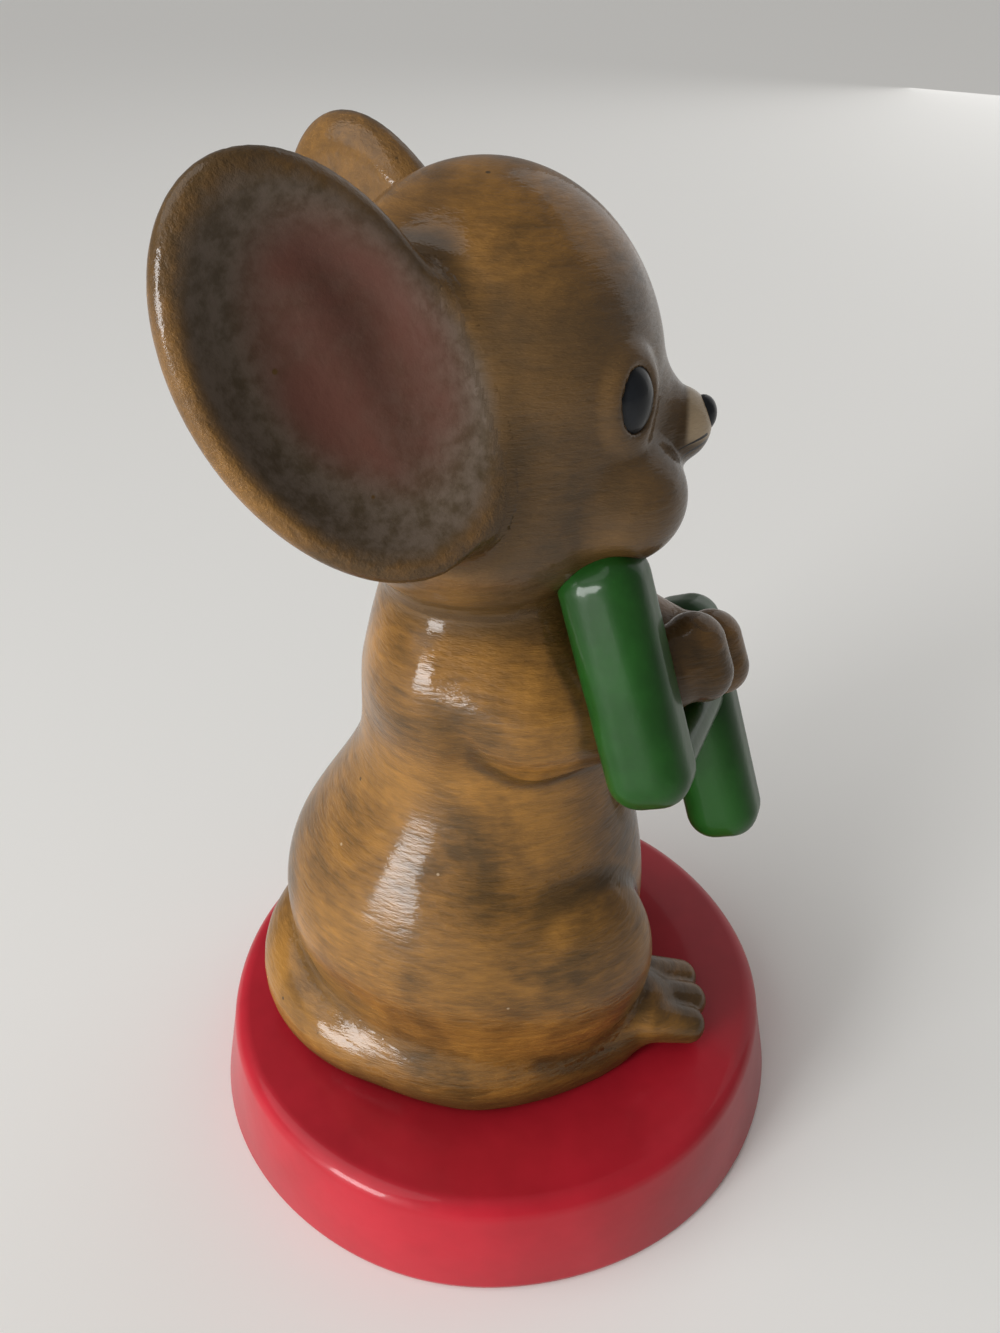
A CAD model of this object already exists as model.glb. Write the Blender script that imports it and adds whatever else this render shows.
import math
from itertools import product
import bpy
import numpy as np
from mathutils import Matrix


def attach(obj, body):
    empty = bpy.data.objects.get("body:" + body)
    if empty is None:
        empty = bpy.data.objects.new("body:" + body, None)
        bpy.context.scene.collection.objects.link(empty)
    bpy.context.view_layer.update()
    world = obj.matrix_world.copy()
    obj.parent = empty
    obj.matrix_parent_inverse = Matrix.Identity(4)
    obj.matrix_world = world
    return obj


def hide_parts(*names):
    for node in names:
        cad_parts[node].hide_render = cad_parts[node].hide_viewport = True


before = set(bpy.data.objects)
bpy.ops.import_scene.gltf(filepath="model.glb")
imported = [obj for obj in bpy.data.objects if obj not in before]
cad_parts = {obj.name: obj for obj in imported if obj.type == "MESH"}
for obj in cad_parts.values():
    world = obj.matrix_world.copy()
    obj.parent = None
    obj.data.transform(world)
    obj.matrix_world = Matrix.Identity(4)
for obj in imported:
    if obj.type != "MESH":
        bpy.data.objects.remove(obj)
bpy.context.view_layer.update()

# A seated ceramic mouse on a red base. Forms are distance fields in millimetres, in the part's frame:
# +X is the mouse's left, -Y its front, +Z up, and 0 is the middle of the underside.
# Places are (forward, to the left, up), and for paired pieces they are the left one's.
# Radii of ovals are (across, along, up), and those of limbs are along their length.
# A band is where a change begins and where it is full.

MM = 0.001
SIDES = {"right": -1, "left": 1}

# Base
BASE_THICK = 10.5
BASE_TOP_RADIUS = 30.1
BASE_FOOT_RADIUS = 31.7
BASE_TOP_ROUND = 1.9
BASE_FOOT_EDGE = [(0.6, 0.0), (0.1, 0.2), (0.0, 0.7)]
BASE_TOP_FLAT = 24.0
BASE_FACETS = 180
VENT_RADIUS = 4.5
VENT_BACK = 8.0
VENT_LOW = -5.0
VENT_TOP = 6.0
VENT_EDGE = 0.5

# Head, with places from its middle
HEAD_MIDDLE_UP = 69.0
HEAD_YAW = -3.0
HEAD_ROLL = 3.5
SKULL_PLACE = (-0.6, 0.0, 1.2)
SKULL_RADII = (13.7, 14.5, 16.7)
JAW_PLACE = (-1.0, 0.0, -7.8)
JAW_RADII = (14.2, 12.6, 9.6)
JAW_JOIN = 5.0
JOWL_PLACE = (9.6, 4.6, -6.8)
JOWL_RADII = (6.4, 6.4, 5.7)
JOWL_JOIN = 1.6
MUZZLE_ROOT = (8.0, 0.0, -0.6)
MUZZLE_TIP = (14.8, 0.0, -2.2)
MUZZLE_RADII = (6.0, 3.2)
MUZZLE_JOIN = 2.0
NOSE_PLACE = (17.2, 0.0, -1.3)
NOSE_RADII = (1.35, 1.15, 1.55)
EYE_PLACE = (10.0, 7.5, 2.0)
EYE_RADII = (2.4, 2.4, 3.15)
SOCKET_GROW = 1.12
SOCKET_EDGE = 0.8
LID_OFF = 0.45
LID_ROUND = 0.55
LID_JOIN = 0.9

# Ears
EAR_PLACE = (-10.8, 14.5, 5.0)
EAR_HALF_WIDTH = 10.0
EAR_HALF_HEIGHT = 15.4
EAR_BEND_RADIUS = 34.0
EAR_YAW = 62.0
EAR_PITCH = -11.4
EAR_ROLL = 26.6
EAR_LIP = 2.0
EAR_HALF_THICK = 1.15
EAR_LIP_SWELL = 0.85
EAR_LIP_BAND = (0.55, 0.92)
EAR_RIDGE = 0.5
EAR_RIDGE_BAND = (0.75, 0.3)
EAR_RIDGE_OFF = 1.5
EAR_RIDGE_WIDTH = 2.4
DISH_CLEAR = 1.2
DISH_DEPTH = 6.0
DISH_REACH = 0.93
DISH_EDGE = 1.6

# Body, as a belly and further rounded forms, each with the width of its join
BELLY_PLACE = (-3.3, 0.0, 15.2)
BELLY_RADII = (17.7, 19.1, 18.4)
BODY_FORMS = [
    ((-3.0, 0.0, 5.0), (15.2, 16.2, 9.0), 4.0),
    ((-2.0, -4.0, 3.0), (14.2, 16.0, 7.0), 4.0),
    ((0.5, 0.0, 36.0), (12.2, 12.4, 18.0), 10.0)]
NECK_LOW = 44.0
NECK_TOP = 55.0
NECK_RADII = (11.3, 9.6)
NECK_JOIN = 6.0

# Limbs and tail
HAUNCH_PLACE = (2.0, 9.5, 13.5)
HAUNCH_RADII = (9.0, 14.1, 14.1)
HEEL_PLACE = (-2.0, 13.0, 2.2)
BALL_PLACE = (15.0, 8.4, 3.4)
FOOT_RADII = (5.0, 4.3)
LEFT_FOOT_BACK = 6.0
HEEL_BACK_SHARE = 0.3
KNUCKLE_PLACE = (16.5, 7.8, 4.0)
KNUCKLE_PITCH = 2.9
TOE_PLACE = (21.2, 7.0, 2.5)
TOE_PITCH = 3.2
TOE_RADII = (2.4, 2.0)
OUTER_TOE_SHORT = 0.6
TOE_JOIN = 0.6
ARM_PLACES = [(-4.0, 6.5, 46.0), (3.5, 8.6, 44.0), (10.0, 7.8, 43.6)]
ARM_RADII = [5.6, 6.2, 4.6, 3.0]
ARM_BEND = 3.0
TAIL_PLACES = [
    (-14.0, 8.0, 8.5), (-19.6, 3.0, 5.6), (-20.4, -2.4, 4.0), (-18.2, -7.8, 3.2), (-13.4, -12.0, 2.6),
    (-6.0, -14.8, 2.2), (0.0, -15.4, 1.8), (6.0, -14.2, 1.4), (12.0, -12.0, 1.0)]
TAIL_RADII = [5.0, 5.0, 4.8, 4.2, 3.5, 3.0, 2.7, 2.3, 1.6]
TAIL_PARTS = 3
TAIL_BEND = 2.0

# Green frame: two rails, one slipped lower, and two rungs; the paws press on the upper rung.
# Places on it are from the right rail's foot. A paw's are (away from the other paw, forward, up).
RAIL_LOW_PLACE = (14.15, -15.3, 38.25)
RAIL_AIM_PLACE = (8.6, -9.0, 58.0)
LEAN_ACROSS = (0.914, -0.351, -0.203)
RAIL_HALF = 3.7
RAIL_ROUND = 2.9
RAIL_GAP = 20.0
RAIL_SLIP = -13.4
RAIL_LENGTHS = {-1: 22.8, 1: 25.8}
RUNG_RADIUS = 2.0
RUNG_INSET = 3.0
RUNG_FORWARD = 1.2
RUNG_HEIGHTS = {"lower": 2.8, "upper": 9.7}
PAW_ACROSS = {-1: 6.8, 1: 13.2}
PAW_DROP = {-1: -0.4, 1: 1.4}
PAW_FORWARD = 3.0
THUMB_PLACE = (1.6, -0.6, 0.2)
THUMB_RADII = (2.6, 2.7, 3.6)
FINGERS_TOP = (0.0, 1.2, 1.4)
FINGERS_LOW = (0.0, 1.5, -1.2)
FINGER_RADII = (2.9, 2.7)
PAW_CREASE = 0.7

# Joins between the brown forms: widths, and the bands over which a soft join turns into a crease
JOIN_WIDTHS = {"body": 1.0, "head": 1.8, "ear": 2.6, "foot": 1.2, "paw": 0.8}
HAUNCH_JOIN, HAUNCH_FRONT_LOSS = 3.6, 2.8
HAUNCH_FRONT_BAND = (-2.0, 7.0)
ARM_JOIN, ARM_SOFT_GAIN = 0.8, 4.0
ARM_TOP_BAND = (52.5, 57.5)
ARM_BACK_BAND = (1.0, 6.0)
TAIL_JOIN, TAIL_SIDE_GAIN = 1.6, 1.6
TAIL_SIDE_BAND = (16.0, 6.0)
SEAM = 1.3
SUNK = 0.25

# Mesh making: the grid step for each kind of piece, and how far round a form the others are looked at
STEP = {
    "head": 0.32, "ear": 0.45, "body": 0.6, "haunch": 0.6, "arm": 0.45, "paw": 0.34, "foot": 0.4,
    "tail": 0.5, "eye": 0.3, "nose": 0.25, "rail": 0.45, "rung": 0.4}
SEARCH = 7.0
FAR = 1000.0
NEAR_OWN = 2.0
OFF_PIECE = 5.0
BOX_MARGIN = 2.0
FIGURE_LOW = np.array([-40.0, -40.0, 8.0])
FIGURE_HIGH = np.array([40.0, 40.0, 105.0])


# Small helpers for places and turns

def spot(forward, left, up):
    """A place measured from the middle of the base top."""
    return np.array([left, -forward, up + BASE_THICK])


def sided(place, side):
    """A place on the mouse's left (1) or right (-1)."""
    forward, left, up = place
    return forward, side * left, up


def turned(yaw=0.0, pitch=0.0, roll=0.0):
    """Turn matrix in degrees: roll about Y, then pitch about X, then yaw about Z."""
    (cy, cp, cr), (sy, sp, sr) = (f(np.radians([yaw, pitch, roll])) for f in (np.cos, np.sin))
    about_z = np.array([[cy, -sy, 0], [sy, cy, 0], [0, 0, 1]])
    about_x = np.array([[1, 0, 0], [0, cp, -sp], [0, sp, cp]])
    about_y = np.array([[cr, 0, sr], [0, 1, 0], [-sr, 0, cr]])
    return about_z @ about_x @ about_y


def unit(v):
    return v / np.linalg.norm(v)


def smooth(low, high, x):
    t = np.clip((x - low) / (high - low), 0, 1)
    return t * t * (3 - 2 * t)


# Distance fields: negative inside, about a millimetre per unit

def ellipsoid(p, centre, radii, turn=None):
    q = p - centre
    if turn is not None:
        q = q @ turn
    near = np.linalg.norm(q / radii, axis=-1)
    slope = np.linalg.norm(q / np.square(radii), axis=-1)
    return near * (near - 1) / np.maximum(slope, 1e-6)


def cone(p, a, b, ra, rb):
    """A limb between two balls."""
    along = b - a
    length = np.linalg.norm(along)
    share = np.clip((p - a) @ along / length ** 2, 0, 1)
    return np.linalg.norm(p - a - share[..., None] * along, axis=-1) - (ra + (rb - ra) * share)


def rounded_box(p, centre, half, radius, turn):
    q = np.abs((p - centre) @ turn) - (np.asarray(half) - radius)
    return np.linalg.norm(np.maximum(q, 0), axis=-1) + np.minimum(q.max(-1), 0) - radius


def blend(a, b, width):
    """The two forms together, with a soft join of the given width."""
    h = np.maximum(width - np.abs(a - b), 0) / width
    return np.minimum(a, b) - h * h * width * 0.25


def carve(a, b, width):
    """The first form with the second cut out of it, and a soft edge."""
    return -blend(-a, b, width)


def chain(p, places, radii, width):
    links = [cone(p, a, b, ra, rb) for a, b, ra, rb in zip(places, places[1:], radii, radii[1:])]
    shape = links[0]
    for link in links[1:]:
        shape = blend(shape, link, width)
    return shape


# Head

HEAD_MIDDLE = spot(0, 0, HEAD_MIDDLE_UP)
HEAD_TURN = turned(yaw=HEAD_YAW, roll=HEAD_ROLL)


def on_head(forward, left, up):
    return HEAD_MIDDLE + HEAD_TURN @ np.array([left, -forward, up])


def head_oval(p, place, radii):
    return ellipsoid(p, on_head(*place), radii, HEAD_TURN)


def eye_ball(p, side, grow=1.0):
    return head_oval(p, sided(EYE_PLACE, side), np.array(EYE_RADII) * grow)


def nose(p):
    return head_oval(p, NOSE_PLACE, NOSE_RADII)


def head(p):
    shape = head_oval(p, SKULL_PLACE, SKULL_RADII)
    shape = blend(shape, head_oval(p, JAW_PLACE, JAW_RADII), JAW_JOIN)
    for side in SIDES.values():
        shape = blend(shape, head_oval(p, sided(JOWL_PLACE, side), JOWL_RADII), JOWL_JOIN)
    for side in SIDES.values():
        shape = carve(shape, ear_dish(p, side), DISH_EDGE)
    muzzle = cone(p, on_head(*MUZZLE_ROOT), on_head(*MUZZLE_TIP), *MUZZLE_RADII)
    shape = blend(shape, muzzle, MUZZLE_JOIN)
    for side in SIDES.values():
        lid = np.hypot(shape, eye_ball(p, side) - LID_OFF) - LID_ROUND
        socketed = carve(shape, eye_ball(p, side, SOCKET_GROW), SOCKET_EDGE)
        shape = blend(socketed, lid, LID_JOIN)
    return shape


# Ears: an oval plate, dished to the front, with a thick round lip

def ear_turn(side):
    return HEAD_TURN @ turned(yaw=side * EAR_YAW, pitch=EAR_PITCH, roll=side * EAR_ROLL)


def ear_local(p, side):
    return (p - on_head(*sided(EAR_PLACE, side))) @ ear_turn(side)


def ear_reach(q):
    """0 in the ear's middle and 1 at its outline."""
    return np.hypot(q[..., 0] / EAR_HALF_WIDTH, q[..., 2] / EAR_HALF_HEIGHT)


def ear_bend(q):
    return -(q[..., 0] ** 2 + q[..., 2] ** 2) / (2 * EAR_BEND_RADIUS)


def ear_dish(p, side):
    """The open space in the ear's bowl, which the skull leaves free."""
    q = ear_local(p, side)
    depth = q[..., 1] - ear_bend(q)
    slab = np.maximum(depth + DISH_CLEAR, -DISH_DEPTH - depth)
    return np.maximum(slab, (ear_reach(q) - DISH_REACH) * EAR_HALF_WIDTH)


def ear(p, side):
    q = ear_local(p, side)
    reach = ear_reach(q)
    half = EAR_HALF_THICK + EAR_LIP_SWELL * smooth(*EAR_LIP_BAND, reach)
    fold = np.exp(-((q[..., 0] * side + EAR_RIDGE_OFF) / EAR_RIDGE_WIDTH) ** 2)
    ridge = EAR_RIDGE * fold * smooth(*EAR_RIDGE_BAND, reach)
    face = np.abs(q[..., 1] - ear_bend(q) + ridge * 0.5) - half - ridge * 0.5
    edge = (reach - 1) * EAR_HALF_WIDTH
    a, b = edge + EAR_LIP, face + EAR_LIP
    return np.hypot(np.maximum(a, 0), np.maximum(b, 0)) + np.minimum(np.maximum(a, b), 0) - EAR_LIP


# Body and limbs

def body(p):
    shape = ellipsoid(p, spot(*BELLY_PLACE), BELLY_RADII)
    for place, radii, width in BODY_FORMS:
        shape = blend(shape, ellipsoid(p, spot(*place), radii), width)
    shape = blend(shape, cone(p, spot(0, 0, NECK_LOW), spot(0, 0, NECK_TOP), *NECK_RADII), NECK_JOIN)
    vent_ends = [spot(-VENT_BACK, 0, up) for up in (VENT_LOW, VENT_TOP)]
    return carve(shape, cone(p, *vent_ends, VENT_RADIUS, VENT_RADIUS), VENT_EDGE)


def haunch(p, side):
    return ellipsoid(p, spot(*sided(HAUNCH_PLACE, side)), HAUNCH_RADII)


def foot(p, side):
    back = LEFT_FOOT_BACK if side > 0 else 0.0

    def on_foot(place, slip, short=0.0, across=0.0):
        forward, left, up = place
        return spot(forward - slip - short, side * left + across, up)

    heel = on_foot(HEEL_PLACE, HEEL_BACK_SHARE * back)
    shape = cone(p, heel, on_foot(BALL_PLACE, back), *FOOT_RADII)
    for step in (-1, 0, 1):
        knuckle = on_foot(KNUCKLE_PLACE, back, across=step * KNUCKLE_PITCH)
        tip = on_foot(TOE_PLACE, back, short=OUTER_TOE_SHORT * abs(step), across=step * TOE_PITCH)
        shape = blend(shape, cone(p, knuckle, tip, *TOE_RADII), TOE_JOIN)
    return shape


def through(points, parts):
    """A smooth row of values through the given ones."""
    points = np.asarray(points, float)
    ends = np.concatenate([2 * points[:1] - points[1:2], points, 2 * points[-1:] - points[-2:-1]])
    row = []
    for a, b, c, d in zip(ends, ends[1:], ends[2:], ends[3:]):
        for t in np.arange(parts) / parts:
            row.append(b + 0.5 * t * (c - a + t * (2 * a - 5 * b + 4 * c - d + t * (3 * (b - c) + d - a))))
    return np.array(row + [points[-1]])


TAIL_ROW = through([spot(*place) for place in TAIL_PLACES], TAIL_PARTS)
TAIL_ROW_RADII = through(TAIL_RADII, TAIL_PARTS)


def tail(p):
    return chain(p, TAIL_ROW, TAIL_ROW_RADII, TAIL_BEND)


# Green frame and the paws on it

RAIL_LOW = spot(*RAIL_LOW_PLACE)
RAIL_UP = unit(spot(*RAIL_AIM_PLACE) - RAIL_LOW)
RAIL_BACK = unit(np.cross(RAIL_UP, LEAN_ACROSS))
RAIL_ACROSS = np.cross(RAIL_BACK, RAIL_UP)
RAIL_TURN = np.stack([RAIL_ACROSS, RAIL_BACK, RAIL_UP], 1)


def on_frame(across, front, up):
    return RAIL_LOW + RAIL_TURN @ np.array([across, -front, up])


def rail(p, side):
    half_length = RAIL_LENGTHS[side] / 2
    across, slip = (RAIL_GAP, RAIL_SLIP) if side > 0 else (0.0, 0.0)
    middle = on_frame(across, 0, slip + half_length)
    return rounded_box(p, middle, (RAIL_HALF, RAIL_HALF, half_length), RAIL_ROUND, RAIL_TURN)


def rung(p, level):
    height = RUNG_HEIGHTS[level]
    ends = [on_frame(across, RUNG_FORWARD, height) for across in (RUNG_INSET, RAIL_GAP - RUNG_INSET)]
    return cone(p, *ends, RUNG_RADIUS, RUNG_RADIUS)


def on_paw(side, across=0.0, front=0.0, up=0.0):
    """A place measured from a paw's middle, across being away from the other paw."""
    height = RUNG_HEIGHTS["upper"] - PAW_DROP[side]
    return on_frame(PAW_ACROSS[side] + side * across, PAW_FORWARD + front, height + up)


def paw(p, side):
    """A mitten: the fingers in one lobe over the rung, the thumb's side in another behind it."""
    thumb = ellipsoid(p, on_paw(side, *THUMB_PLACE), THUMB_RADII, RAIL_TURN)
    fingers = cone(p, on_paw(side, *FINGERS_TOP), on_paw(side, *FINGERS_LOW), *FINGER_RADII)
    return blend(thumb, fingers, PAW_CREASE)


def arm(p, side):
    places = [spot(*sided(place, side)) for place in ARM_PLACES]
    return chain(p, [*places, on_paw(side)], ARM_RADII, ARM_BEND)


# All brown forms together, with soft joins

BROWN = {"body": body, "head": head, "tail": tail}
for word, side in SIDES.items():
    for kind, form in (("haunch", haunch), ("ear", ear), ("arm", arm), ("foot", foot), ("paw", paw)):
        BROWN[f"{word}_{kind}"] = lambda p, form=form, side=side: form(p, side)
JOIN_ORDER = [
    "body", "right_haunch", "left_haunch", "head", "right_ear", "left_ear", "right_arm", "left_arm",
    "right_foot", "left_foot", "tail", "right_paw", "left_paw"]


def extent(form, step=1.5):
    """Corners of the box that a form fills."""
    axes = [np.arange(a, b + step, step) for a, b in zip(FIGURE_LOW, FIGURE_HIGH)]
    grid = np.stack(np.meshgrid(*axes, indexing="ij"), -1).reshape(-1, 3)
    held = grid[form(grid) < step]
    return held.min(0) - BOX_MARGIN, held.max(0) + BOX_MARGIN


BOXES = {name: extent(form) for name, form in BROWN.items()}


def kind_of(name):
    return name.split("_")[-1]


def join_width(name, p):
    """How softly a form joins the rest: haunches, arms and tail melt in, but for their creases."""
    kind = kind_of(name)
    if kind == "haunch":
        return HAUNCH_JOIN - HAUNCH_FRONT_LOSS * smooth(*HAUNCH_FRONT_BAND, -p[..., 1])
    if kind == "arm":
        soft = np.maximum(smooth(*ARM_TOP_BAND, p[..., 2]), smooth(*ARM_BACK_BAND, p[..., 1]))
        return ARM_JOIN + ARM_SOFT_GAIN * soft
    if kind == "tail":
        return TAIL_JOIN + TAIL_SIDE_GAIN * smooth(*TAIL_SIDE_BAND, p[..., 1])
    return JOIN_WIDTHS[kind]


def whole_mouse(p):
    shape = np.full(p.shape[:-1], FAR)
    for name in JOIN_ORDER:
        low, high = BOXES[name]
        near = np.all((p > low - SEARCH) & (p < high + SEARCH), axis=-1)
        here = p[near]
        shape[near] = blend(shape[near], BROWN[name](here), join_width(name, here))
    return np.maximum(shape, BASE_THICK - SUNK - p[..., 2])


def brown_piece(name):
    """The part of the joined mouse that lies within a seam's width of one form."""
    form = BROWN[name]

    def field(p):
        own = form(p) - SEAM
        out = own + OFF_PIECE
        near = own < NEAR_OWN
        out[near] = np.maximum(whole_mouse(p[near]), own[near])
        return out
    return field


# Meshes from fields

def gradient(field, p, reach=0.05):
    return np.stack([(field(p + reach * d) - field(p - reach * d)) / (2 * reach) for d in np.eye(3)], -1)


def mixed_cells(inside):
    """The grid cells with corners on both sides of the surface."""
    cells = tuple(n - 1 for n in inside.shape)
    total = np.zeros(cells, int)
    for i, j, k in product((0, 1), repeat=3):
        total += inside[i:cells[0] + i, j:cells[1] + j, k:cells[2] + k]
    return (total > 0) & (total < 8)


def cell_places(grid, values, inside, active):
    """In each mixed cell, the middle of the places where its edges cross the surface."""
    cells = active.shape
    crossing = np.zeros(cells + (3,))
    counted = np.zeros(cells)
    for axis in range(3):
        others = [a for a in range(3) if a != axis]
        for i, j in product((0, 1), repeat=2):
            start = [0, 0, 0]
            start[others[0]], start[others[1]] = i, j
            end = list(start)
            end[axis] = 1
            a = tuple(slice(s, s + n) for s, n in zip(start, cells))
            b = tuple(slice(s, s + n) for s, n in zip(end, cells))
            cut = active & (inside[a] != inside[b])
            va, vb = values[a][cut], values[b][cut]
            share = (va / (va - vb))[:, None]
            crossing[cut] += grid[a][cut] * (1 - share) + grid[b][cut] * share
            counted[cut] += 1
    return crossing[active] / counted[active][:, None]


def quads_across(inside, number, axis):
    """One quad round each grid edge along an axis that crosses the surface."""
    u, v = [(1, 2), (2, 0), (0, 1)][axis]
    low_cut = [slice(0, None)] * 3
    high_cut = [slice(0, None)] * 3
    low_cut[axis], high_cut[axis] = slice(0, -1), slice(1, None)
    a, b = inside[tuple(low_cut)], inside[tuple(high_cut)]
    place = np.argwhere(a != b)
    for way in (u, v):
        place = place[(place[:, way] > 0) & (place[:, way] < number.shape[way])]
    ring = []
    for du, dv in ((0, 0), (-1, 0), (-1, -1), (0, -1)):
        cell = place.copy()
        cell[:, u] += du
        cell[:, v] += dv
        ring.append(number[tuple(cell.T)])
    ring = np.stack(ring, 1)
    flip = b[tuple(place.T)]
    ring[flip] = ring[flip][:, ::-1]
    return ring


def onto_surface(field, verts, step, rounds=2, least_slope=0.2):
    for _ in range(rounds):
        slope = gradient(field, verts)
        steep = np.maximum((slope ** 2).sum(-1, keepdims=True), least_slope)
        verts = verts - np.clip(field(verts)[:, None] * slope / steep, -step / 2, step / 2)
    return verts


def net(field, low, high, step):
    """Quads round the places where a field changes sign, drawn onto the field's zero."""
    axes = [np.arange(a, b + step, step) for a, b in zip(low, high)]
    grid = np.stack(np.meshgrid(*axes, indexing="ij"), -1)
    values = field(grid.reshape(-1, 3)).reshape(grid.shape[:3])
    inside = values < 0
    active = mixed_cells(inside)
    number = np.full(active.shape, -1)
    number[active] = np.arange(active.sum())
    quads = [quads_across(inside, number, axis) for axis in range(3)]
    verts = cell_places(grid, values, inside, active)
    return onto_surface(field, verts, step), np.concatenate(quads)


def make_object(name, verts, quads, masks=None):
    mesh = bpy.data.meshes.new(name)
    mesh.from_pydata((verts * MM).tolist(), [], quads.tolist())
    for key, values in (masks or {}).items():
        kind, field = ("FLOAT_VECTOR", "vector") if values.ndim == 2 else ("FLOAT", "value")
        layer = mesh.attributes.new(key, kind, "POINT")
        layer.data.foreach_set(field, values.astype(np.float32).ravel())
    mesh.polygons.foreach_set("use_smooth", np.ones(len(quads), bool))
    mesh.update()
    obj = bpy.data.objects.new(name, mesh)
    bpy.context.collection.objects.link(obj)
    return obj


def set_part(obj, node, material):
    obj.data.materials.append(material)
    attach(obj, "root")
    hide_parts(node)


# Paint masks, worked out on the surface. Creases, strokes and veil come from places alone, so that pieces
# agree where they overlap.

SHELTER_REACHES = ((0.8, 0.3), (1.8, 0.4), (3.6, 0.3))
SHELTER_MOST = 1.4
CREASE_LINE_DEPTH = 0.45
CREASE_LINE_BAND = (1.5, 0.2)
CREASE_HARD_BAND = (2.6, 1.0)
FOOT_STAIN_DEPTH = 0.32
FOOT_STAIN_BAND = (BASE_THICK + 4.5, BASE_THICK + 1.5)
EYE_CLEAR_BAND = (0.2, 1.6)
EAR_FRONT_BAND = (0.1, 0.7)
EAR_NEAR_BAND = (6.0, 3.0)
PINK_BAND = (0.76, 0.46)
PINK_OFF, PINK_UP = 2.0, 0.4
DUSK_BAND = (0.96, 0.82)
DUSK_OFF = 0.5
BODY_STROKES = (0.2, 0.2, 1.0)
HEAD_STROKES = (0.16, 0.22, 1.0)
EAR_STROKES = (0.6, 1.0, 0.6)
FACE_FRONT_BAND = (-12.0, 3.0)
FACE_TOP_BAND = (16.0, 7.0)
FACE_NEAR_BAND = (3.0, 0.5)
PAW_VEIL, EAR_VEIL = 0.6, 0.45
THIN_VEIL_BAND = (1.4, 0.2)


def everything(p):
    shape = whole_mouse(p)
    for side in SIDES.values():
        shape = np.minimum(shape, rail(p, side))
    return np.minimum(shape, p[..., 2] - BASE_THICK)


def shelter(p, normal):
    """How far the surface lies in a crease, from 0 in the open to 1."""
    total = np.zeros(len(p))
    for reach, weight in SHELTER_REACHES:
        total += weight * np.clip(1 - everything(p + reach * normal) / reach, 0, SHELTER_MOST)
    return np.clip(total, 0, 1)


def crease_line(p):
    """Dark lines where a limb's edge meets the body without a soft join."""
    line = np.zeros(len(p))
    for word, kind in product(SIDES, ("haunch", "arm")):
        name = f"{word}_{kind}"
        edge = smooth(*CREASE_LINE_BAND, np.abs(body(p) - BROWN[name](p)))
        line = np.maximum(line, edge * smooth(*CREASE_HARD_BAND, join_width(name, p)))
    return line


def crease_mask(verts, normal):
    near_eye = np.minimum(eye_ball(verts, -1), eye_ball(verts, 1))
    crease = np.maximum(shelter(verts, normal), CREASE_LINE_DEPTH * crease_line(verts))
    crease = np.maximum(crease, FOOT_STAIN_DEPTH * smooth(*FOOT_STAIN_BAND, verts[:, 2]))
    return crease * smooth(*EYE_CLEAR_BAND, near_eye)


def ear_masks(verts, normal):
    """The ears' reddish middle and the dusky bowl round it."""
    pink = np.zeros(len(verts))
    dusk = np.zeros(len(verts))
    for side in SIDES.values():
        q = ear_local(verts, side)
        front = smooth(*EAR_FRONT_BAND, -(normal @ ear_turn(side))[:, 1])
        near = smooth(*EAR_NEAR_BAND, np.abs(q[:, 1] - ear_bend(q)))
        pink += front * near * smooth(*PINK_BAND, ear_reach(q + (side * PINK_OFF, 0, -PINK_UP)))
        dusk += front * near * smooth(*DUSK_BAND, ear_reach(q + (side * DUSK_OFF, 0, 0)))
    return pink, dusk


def stroke_places(verts, local, skull):
    """Places stretched along the brush strokes of the body, head or ear."""
    on_skull = (skull < body(verts))[:, None]
    strokes = np.where(on_skull, local * HEAD_STROKES, verts * BODY_STROKES)
    for side in SIDES.values():
        on_ear = (ear(verts, side) < skull)[:, None]
        strokes = np.where(on_ear, ear_local(verts, side) * EAR_STROKES, strokes)
    return strokes


def veil_mask(verts, local, skull):
    """The grey-brown wash over the face, and a thinner one on paws and ears."""
    veil = smooth(*FACE_FRONT_BAND, -local[:, 1]) * smooth(*FACE_TOP_BAND, local[:, 2])
    veil = veil * smooth(*FACE_NEAR_BAND, skull)
    for side in SIDES.values():
        for form, share in ((paw, PAW_VEIL), (ear, EAR_VEIL)):
            veil = np.maximum(veil, share * smooth(*THIN_VEIL_BAND, form(verts, side)))
    return veil


def brown_masks(name, verts):
    normal = gradient(whole_mouse, verts)
    normal /= np.maximum(np.linalg.norm(normal, axis=-1, keepdims=True), 1e-6)
    local = (verts - HEAD_MIDDLE) @ HEAD_TURN
    skull = head(verts)
    pink, dusk = np.zeros(len(verts)), np.zeros(len(verts))
    if name.endswith("_ear") or name == "head":
        pink, dusk = ear_masks(verts, normal)
    return {
        "crease": crease_mask(verts, normal), "pink": pink, "dusk": dusk,
        "stroke": stroke_places(verts, local, skull), "veil": veil_mask(verts, local, skull),
        "face": local if name == "head" else np.zeros_like(local)}


# Materials

OCHRE = (0.285, 0.133, 0.023, 1)
TAN = (0.160, 0.075, 0.015, 1)
UMBER = (0.066, 0.034, 0.008, 1)
VEIL = (0.054, 0.036, 0.019, 1)
DUSK = (0.098, 0.072, 0.052, 1)
MAROON = (0.094, 0.036, 0.025, 1)
CREAM = (0.36, 0.27, 0.17, 1)
INK = (0.012, 0.010, 0.010, 1)
RED, DEEP_RED = (0.44, 0.013, 0.026, 1), (0.34, 0.010, 0.019, 1)
GREEN, DEEP_GREEN = (0.011, 0.066, 0.008, 1), (0.007, 0.042, 0.005, 1)
BLACK, DEEP_BLACK = (0.010, 0.012, 0.016, 1), (0.005, 0.006, 0.008, 1)
FLOOR_WHITE = (0.88, 0.87, 0.845, 1)
BUMP_DEPTH = 0.0006
VARNISH_IOR = 1.4
VARNISH_SPECULAR = 0.15

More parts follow.
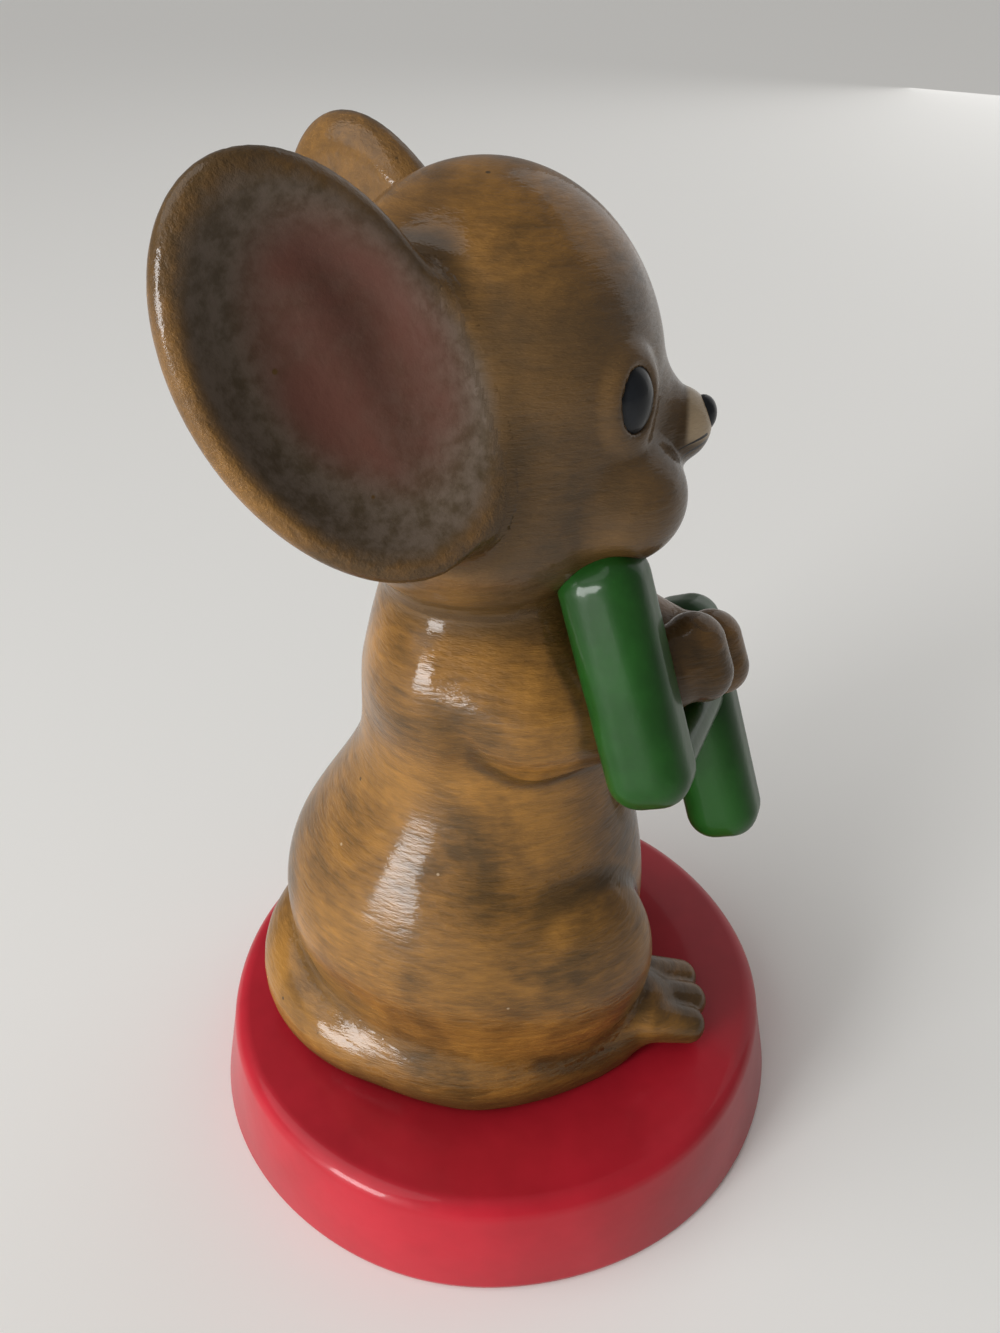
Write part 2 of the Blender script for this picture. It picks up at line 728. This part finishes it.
# Whiskers painted on the muzzle, as (up, forward) places in the head's frame, and widths
WHISKERS = [
    ((-2.5, 17.4), (-3.3, 14.9), 0.17), ((-3.1, 17.6), (-4.2, 14.8), 0.17),
    ((-3.7, 17.6), (-5.0, 15.2), 0.17), ((-4.3, 17.4), (-5.4, 15.9), 0.15)]


def node_group(name, ins, outs):
    group = bpy.data.node_groups.new(name, "ShaderNodeTree")
    for label, kind in ins:
        group.interface.new_socket(label, in_out="INPUT", socket_type=kind)
    for label, kind in outs:
        group.interface.new_socket(label, in_out="OUTPUT", socket_type=kind)
    return group, group.nodes.new("NodeGroupInput"), group.nodes.new("NodeGroupOutput")


class Wires:
    """Short ways to add shader nodes to one tree."""

    def __init__(self, tree):
        self.tree = tree

    def add(self, kind, **values):
        node = self.tree.nodes.new(kind)
        for key, value in values.items():
            setattr(node, key, value)
        return node

    def put(self, socket, value):
        if isinstance(value, bpy.types.NodeSocket):
            self.tree.links.new(value, socket)
        else:
            socket.default_value = value

    def fill(self, node, values):
        for key, value in values.items():
            self.put(node.inputs[key], value)
        return node

    def noise(self, vector, scale, detail=3.0, rough=0.55, distortion=0.0):
        node = self.fill(self.add("ShaderNodeTexNoise"), {
            "Vector": vector, "Scale": scale, "Detail": detail, "Roughness": rough, "Distortion": distortion})
        return node.outputs["Fac"]

    def span(self, value, low, high, to_low=0.0, to_high=1.0):
        node = self.fill(self.add("ShaderNodeMapRange", interpolation_type="SMOOTHSTEP"), {
            "Value": value, "From Min": low, "From Max": high, "To Min": to_low, "To Max": to_high})
        return node.outputs["Result"]

    def math(self, operation, a, b=0.0):
        node = self.fill(self.add("ShaderNodeMath", operation=operation), {0: a, 1: b})
        return node.outputs[0]

    def vector(self, operation, a, b=(0, 0, 0)):
        node = self.fill(self.add("ShaderNodeVectorMath", operation=operation), {0: a, 1: b})
        return node.outputs["Value" if operation in ("DOT_PRODUCT", "LENGTH") else "Vector"]

    def mix(self, share, a, b):
        node = self.fill(self.add("ShaderNodeMix", data_type="RGBA"), {"Factor": share, "A": a, "B": b})
        return node.outputs["Result"]

    def mask(self, name):
        return self.add("ShaderNodeAttribute", attribute_name=name).outputs["Fac"]

    def place(self, name):
        return self.add("ShaderNodeAttribute", attribute_name=name).outputs["Vector"]

    def bump(self, height, strength):
        node = self.fill(self.add("ShaderNodeBump"), {
            "Strength": strength, "Distance": BUMP_DEPTH, "Height": height})
        return node.outputs["Normal"]


def brush_line_group():
    """Mask of one painted line between two places, thinner towards its end."""
    ins = [(label, "NodeSocketVector") for label in ("Place", "Start", "End")]
    ins.append(("Width", "NodeSocketFloat"))
    group, given, result = node_group("brush_line", ins, [("Mask", "NodeSocketFloat")])
    w = Wires(group)
    reach = w.vector("SUBTRACT", given.outputs["Place"], given.outputs["Start"])
    whole = w.vector("SUBTRACT", given.outputs["End"], given.outputs["Start"])
    share = w.math("DIVIDE", w.vector("DOT_PRODUCT", reach, whole), w.vector("DOT_PRODUCT", whole, whole))
    share = w.math("MINIMUM", w.math("MAXIMUM", share, 0.0), 1.0)
    step = w.fill(w.add("ShaderNodeVectorMath", operation="SCALE"), {0: whole, "Scale": share})
    off = w.vector("LENGTH", w.vector("SUBTRACT", reach, step.outputs[0]))
    thin = w.math("MULTIPLY", given.outputs["Width"], w.math("SUBTRACT", 1.15, share))
    w.put(result.inputs["Mask"], w.span(w.math("DIVIDE", off, thin), 1.0, 0.45))
    return group


def material(name):
    made = bpy.data.materials.new(name)
    made.use_nodes = True
    wires = Wires(made.node_tree)
    return made, wires, made.node_tree.nodes["Principled BSDF"]


def varnish(wires, shader, roughness, coat, coat_roughness):
    wires.fill(shader, {
        "Specular IOR Level": VARNISH_SPECULAR, "Roughness": roughness, "Coat Weight": coat,
        "Coat IOR": VARNISH_IOR, "Coat Roughness": coat_roughness})


def speckle(w, place, scale, size, share):
    """Scattered small round specks."""
    node = w.fill(w.add("ShaderNodeTexVoronoi"), {"Vector": place, "Scale": scale})
    chosen = w.fill(w.add("ShaderNodeSeparateColor"), {"Color": node.outputs["Color"]})
    dot = w.span(node.outputs["Distance"], size, size * 0.6)
    return w.math("MULTIPLY", dot, w.math("LESS_THAN", chosen.outputs["Red"], share))


def painted_face(w, colour):
    """Cream behind the nose, and whiskers in thin dark lines."""
    face = w.fill(w.add("ShaderNodeSeparateXYZ"), {"Vector": w.place("face")})
    up, forward = face.outputs["Z"], w.math("MULTIPLY", face.outputs["Y"], -1.0)
    flat = w.fill(w.add("ShaderNodeCombineXYZ"), {"X": up, "Y": forward})
    pale = w.math("MULTIPLY", w.span(forward, 15.4, 16.0), w.span(up, -3.4, -2.4))
    colour = w.mix(pale, colour, CREAM)
    group = brush_line_group()
    for start, end, width in WHISKERS:
        line = w.fill(w.add("ShaderNodeGroup", node_tree=group), {
            "Place": flat.outputs["Vector"], "Start": (*start, 0.0), "End": (*end, 0.0), "Width": width})
        colour = w.mix(line.outputs["Mask"], colour, INK)
    return colour


def brown_glaze():
    """Ochre under brushed-on brown stain, darkest in the creases, below a clear gloss."""
    made, w, shader = material("brown_glaze")
    place = w.add("ShaderNodeTexCoord").outputs["Object"]
    stroke = w.place("stroke")
    dusk = w.mask("dusk")
    cloud = w.noise(place, 70.0, 4.0, 0.6, 0.4)
    streak = w.noise(stroke, 1.3, 4.0, 0.62)
    hair = w.noise(stroke, 2.4, 3.0, 0.7)

    tone = w.math("ADD", w.math("MULTIPLY", cloud, 0.98), w.math("MULTIPLY", streak, 0.30))
    tone = w.math("ADD", tone, w.math("MULTIPLY", hair, 0.20))
    colour = w.mix(w.span(tone, 0.54, 0.76), UMBER, TAN)
    colour = w.mix(w.span(tone, 0.68, 0.94), colour, OCHRE)
    colour = w.mix(w.math("MULTIPLY", w.mask("veil"), 0.74), colour, VEIL)
    stain = w.math("MULTIPLY", w.span(w.mask("crease"), 0.06, 0.42), w.span(streak, 0.30, 0.62, 1.0, 0.78))
    colour = w.mix(stain, colour, UMBER)

    bowl = w.mix(w.span(streak, 0.35, 0.7), DUSK, VEIL)
    pink = w.math("MULTIPLY", w.mask("pink"), w.span(cloud, 0.30, 0.58, 0.45, 1.0))
    colour = w.mix(dusk, colour, w.mix(pink, bowl, MAROON))
    colour = painted_face(w, colour)
    colour = w.mix(speckle(w, place, 300.0, 0.075, 0.30), colour, UMBER)
    colour = w.mix(w.math("MULTIPLY", speckle(w, place, 210.0, 0.04, 0.16), 0.7), colour, CREAM)
    w.put(shader.inputs["Base Color"], colour)

    grooves = w.math("ADD", w.math("MULTIPLY", hair, 0.6), w.math("MULTIPLY", streak, 0.5))
    calm = w.math("SUBTRACT", 1.0, w.math("MULTIPLY", dusk, 0.75))
    grooves = w.math("MULTIPLY", grooves, calm)
    w.put(shader.inputs["Normal"], w.bump(grooves, 0.5))
    w.put(shader.inputs["Coat Normal"], w.bump(grooves, 0.13))
    varnish(w, shader, 0.5, w.span(dusk, 0.0, 1.0, 0.6, 0.2), 0.10)
    return made


def brushed_paint_group():
    """Colour with faint darker patches, and the height of the ripples that a brush leaves."""
    ins = [("Place", "NodeSocketVector"), ("Cells", "NodeSocketFloat")]
    ins += [(label, "NodeSocketColor") for label in ("Colour", "Shade")]
    outs = [("Colour", "NodeSocketColor"), ("Ripple", "NodeSocketFloat")]
    group, given, result = node_group("brushed_paint", ins, outs)
    w = Wires(group)
    place, cells, colour, shade = (given.outputs[label] for label, _ in ins)
    patch = w.noise(place, cells, 4.0, 0.6)
    w.put(result.inputs["Colour"], w.mix(w.span(patch, 0.35, 0.7), shade, colour))
    w.put(result.inputs["Ripple"], w.noise(place, w.math("MULTIPLY", cells, 3.0), 3.0))
    return group


def paint(name, colour, shade, cells):
    """Plain gloss paint over brush ripples."""
    made, w, shader = material(name)
    place = w.add("ShaderNodeTexCoord").outputs["Object"]
    brushed = w.fill(w.add("ShaderNodeGroup", node_tree=BRUSHED_PAINT), {
        "Place": place, "Cells": cells, "Colour": colour, "Shade": shade})
    w.put(shader.inputs["Base Color"], brushed.outputs["Colour"])
    w.put(shader.inputs["Normal"], w.bump(brushed.outputs["Ripple"], 0.12))
    varnish(w, shader, 0.4, 0.35, 0.08)
    return made


BROWN_GLAZE = brown_glaze()
BRUSHED_PAINT = brushed_paint_group()
RED_PAINT = paint("red_paint", RED, DEEP_RED, 60.0)
GREEN_PAINT = paint("green_paint", GREEN, DEEP_GREEN, 110.0)
BLACK_PAINT = paint("black_paint", BLACK, DEEP_BLACK, 150.0)


# Pieces

def build_brown():
    for name in BROWN:
        verts, quads = net(brown_piece(name), *BOXES[name], STEP[kind_of(name)])
        obj = make_object(f"{name}_form", verts, quads, brown_masks(name, verts))
        set_part(obj, name, BROWN_GLAZE)


def build_plain(name, form, paint_material):
    verts, quads = net(form, *extent(form, step=1.0), STEP[kind_of(name)])
    set_part(make_object(f"{name}_form", verts, quads), name, paint_material)


def base_profile():
    """Rings from the vent's foot round to its top: radius, height, and how far back the middle lies."""
    profile = [(VENT_RADIUS, 0.0, VENT_BACK)]
    profile += [(BASE_FOOT_RADIUS - inset, height, 0.0) for inset, height in BASE_FOOT_EDGE]
    for angle in np.linspace(0, 90, 9):
        bend = math.radians(angle)
        radius = BASE_TOP_RADIUS - BASE_TOP_ROUND * (1 - math.cos(bend))
        profile.append((radius, BASE_THICK - BASE_TOP_ROUND * (1 - math.sin(bend)), 0.0))
    return profile + [(BASE_TOP_FLAT, BASE_THICK, 0.0), (VENT_RADIUS, BASE_THICK, VENT_BACK)]


def build_base():
    """A turned disc with a rounded top edge, a vent hole and a slightly uneven hand-cast rim."""
    profile = base_profile()
    turn = np.linspace(0, 2 * np.pi, BASE_FACETS, endpoint=False)
    wobble = 1 + 0.003 * np.sin(3 * turn + 1.0) + 0.002 * np.sin(7 * turn)
    rings = []
    for radius, height, back in profile:
        x, y = radius * wobble * np.cos(turn), radius * wobble * np.sin(turn)
        rings.append(np.stack([x, y + back, np.full(BASE_FACETS, height)], 1))
    this = np.arange(BASE_FACETS)
    after = (this + 1) % BASE_FACETS
    quads = []
    for i in range(len(profile)):
        a, b = i * BASE_FACETS, (i + 1) % len(profile) * BASE_FACETS
        quads.append(np.stack([a + this, a + after, b + after, b + this], 1))
    obj = make_object("base_form", np.concatenate(rings), np.concatenate(quads))
    set_part(obj, "base", RED_PAINT)


build_base()
build_brown()
for word, side in SIDES.items():
    build_plain(f"{word}_eye", lambda p, s=side: eye_ball(p, s), BLACK_PAINT)
    build_plain(f"frame_{word}_rail", lambda p, s=side: rail(p, s), GREEN_PAINT)
for level in RUNG_HEIGHTS:
    build_plain(f"frame_{level}_rung", lambda p, v=level: rung(p, v), GREEN_PAINT)
build_plain("nose", nose, BLACK_PAINT)


# Floor, light and camera, in metres

FLOOR_SIZE = 6.0
SKY_POWER = 1.2
SKY_SPREAD = 55.0
SKY_TURN = (-38.0, -14.0, 0.0)
ROOM_COLOUR = (1.0, 0.985, 0.96, 1)
ROOM_STRENGTH = 0.25
CAMERA_PLACE = (-0.0878, -0.0005, 0.1109)
CAMERA_DOWN = 33.6
CAMERA_LENS = 29.71
CAMERA_SENSOR = 36.0


def build_stage():
    floor_paint, w, shader = material("floor_paint")
    w.fill(shader, {"Base Color": FLOOR_WHITE, "Roughness": 0.7})
    bpy.ops.mesh.primitive_plane_add(size=FLOOR_SIZE, location=(0, 0, 0))
    floor = bpy.context.object
    floor.name = "floor"
    floor.data.materials.append(floor_paint)


def area_light(name, place, aim, size, power):
    lamp = bpy.data.lights.new(name, "AREA")
    lamp.shape = "RECTANGLE"
    lamp.size, lamp.size_y = size
    lamp.energy = power
    obj = bpy.data.objects.new(name, lamp)
    obj.location = place
    towards = unit(np.array(aim) - np.array(place))
    obj.rotation_euler = (math.acos(-towards[2]), 0, math.atan2(towards[1], towards[0]) - math.pi / 2)
    bpy.context.collection.objects.link(obj)


def build_light():
    area_light("window", (-0.44, 0.46, 0.13), (0, 0, 0.06), (0.22, 0.25), 4.0)
    area_light("fill", (0.55, -0.55, 0.40), (0, 0, 0.05), (0.9, 0.9), 1.6)
    sky = bpy.data.lights.new("skylight", "SUN")
    sky.energy = SKY_POWER
    sky.angle = math.radians(SKY_SPREAD)
    sky_object = bpy.data.objects.new("skylight", sky)
    sky_object.rotation_euler = [math.radians(angle) for angle in SKY_TURN]
    bpy.context.collection.objects.link(sky_object)
    world = bpy.data.worlds.new("soft_room")
    world.use_nodes = True
    background = world.node_tree.nodes["Background"]
    background.inputs["Color"].default_value = ROOM_COLOUR
    background.inputs["Strength"].default_value = ROOM_STRENGTH
    bpy.context.scene.world = world


def build_camera():
    camera = bpy.data.cameras.new("camera")
    camera.sensor_width = CAMERA_SENSOR
    camera.lens = CAMERA_LENS
    camera.clip_start = 0.005
    obj = bpy.data.objects.new("camera", camera)
    obj.location = CAMERA_PLACE
    obj.rotation_euler = (math.radians(90 - CAMERA_DOWN), 0, math.radians(-90))
    bpy.context.collection.objects.link(obj)
    bpy.context.scene.camera = obj


build_stage()
build_light()
build_camera()
bpy.context.scene.view_settings.view_transform = "Standard"
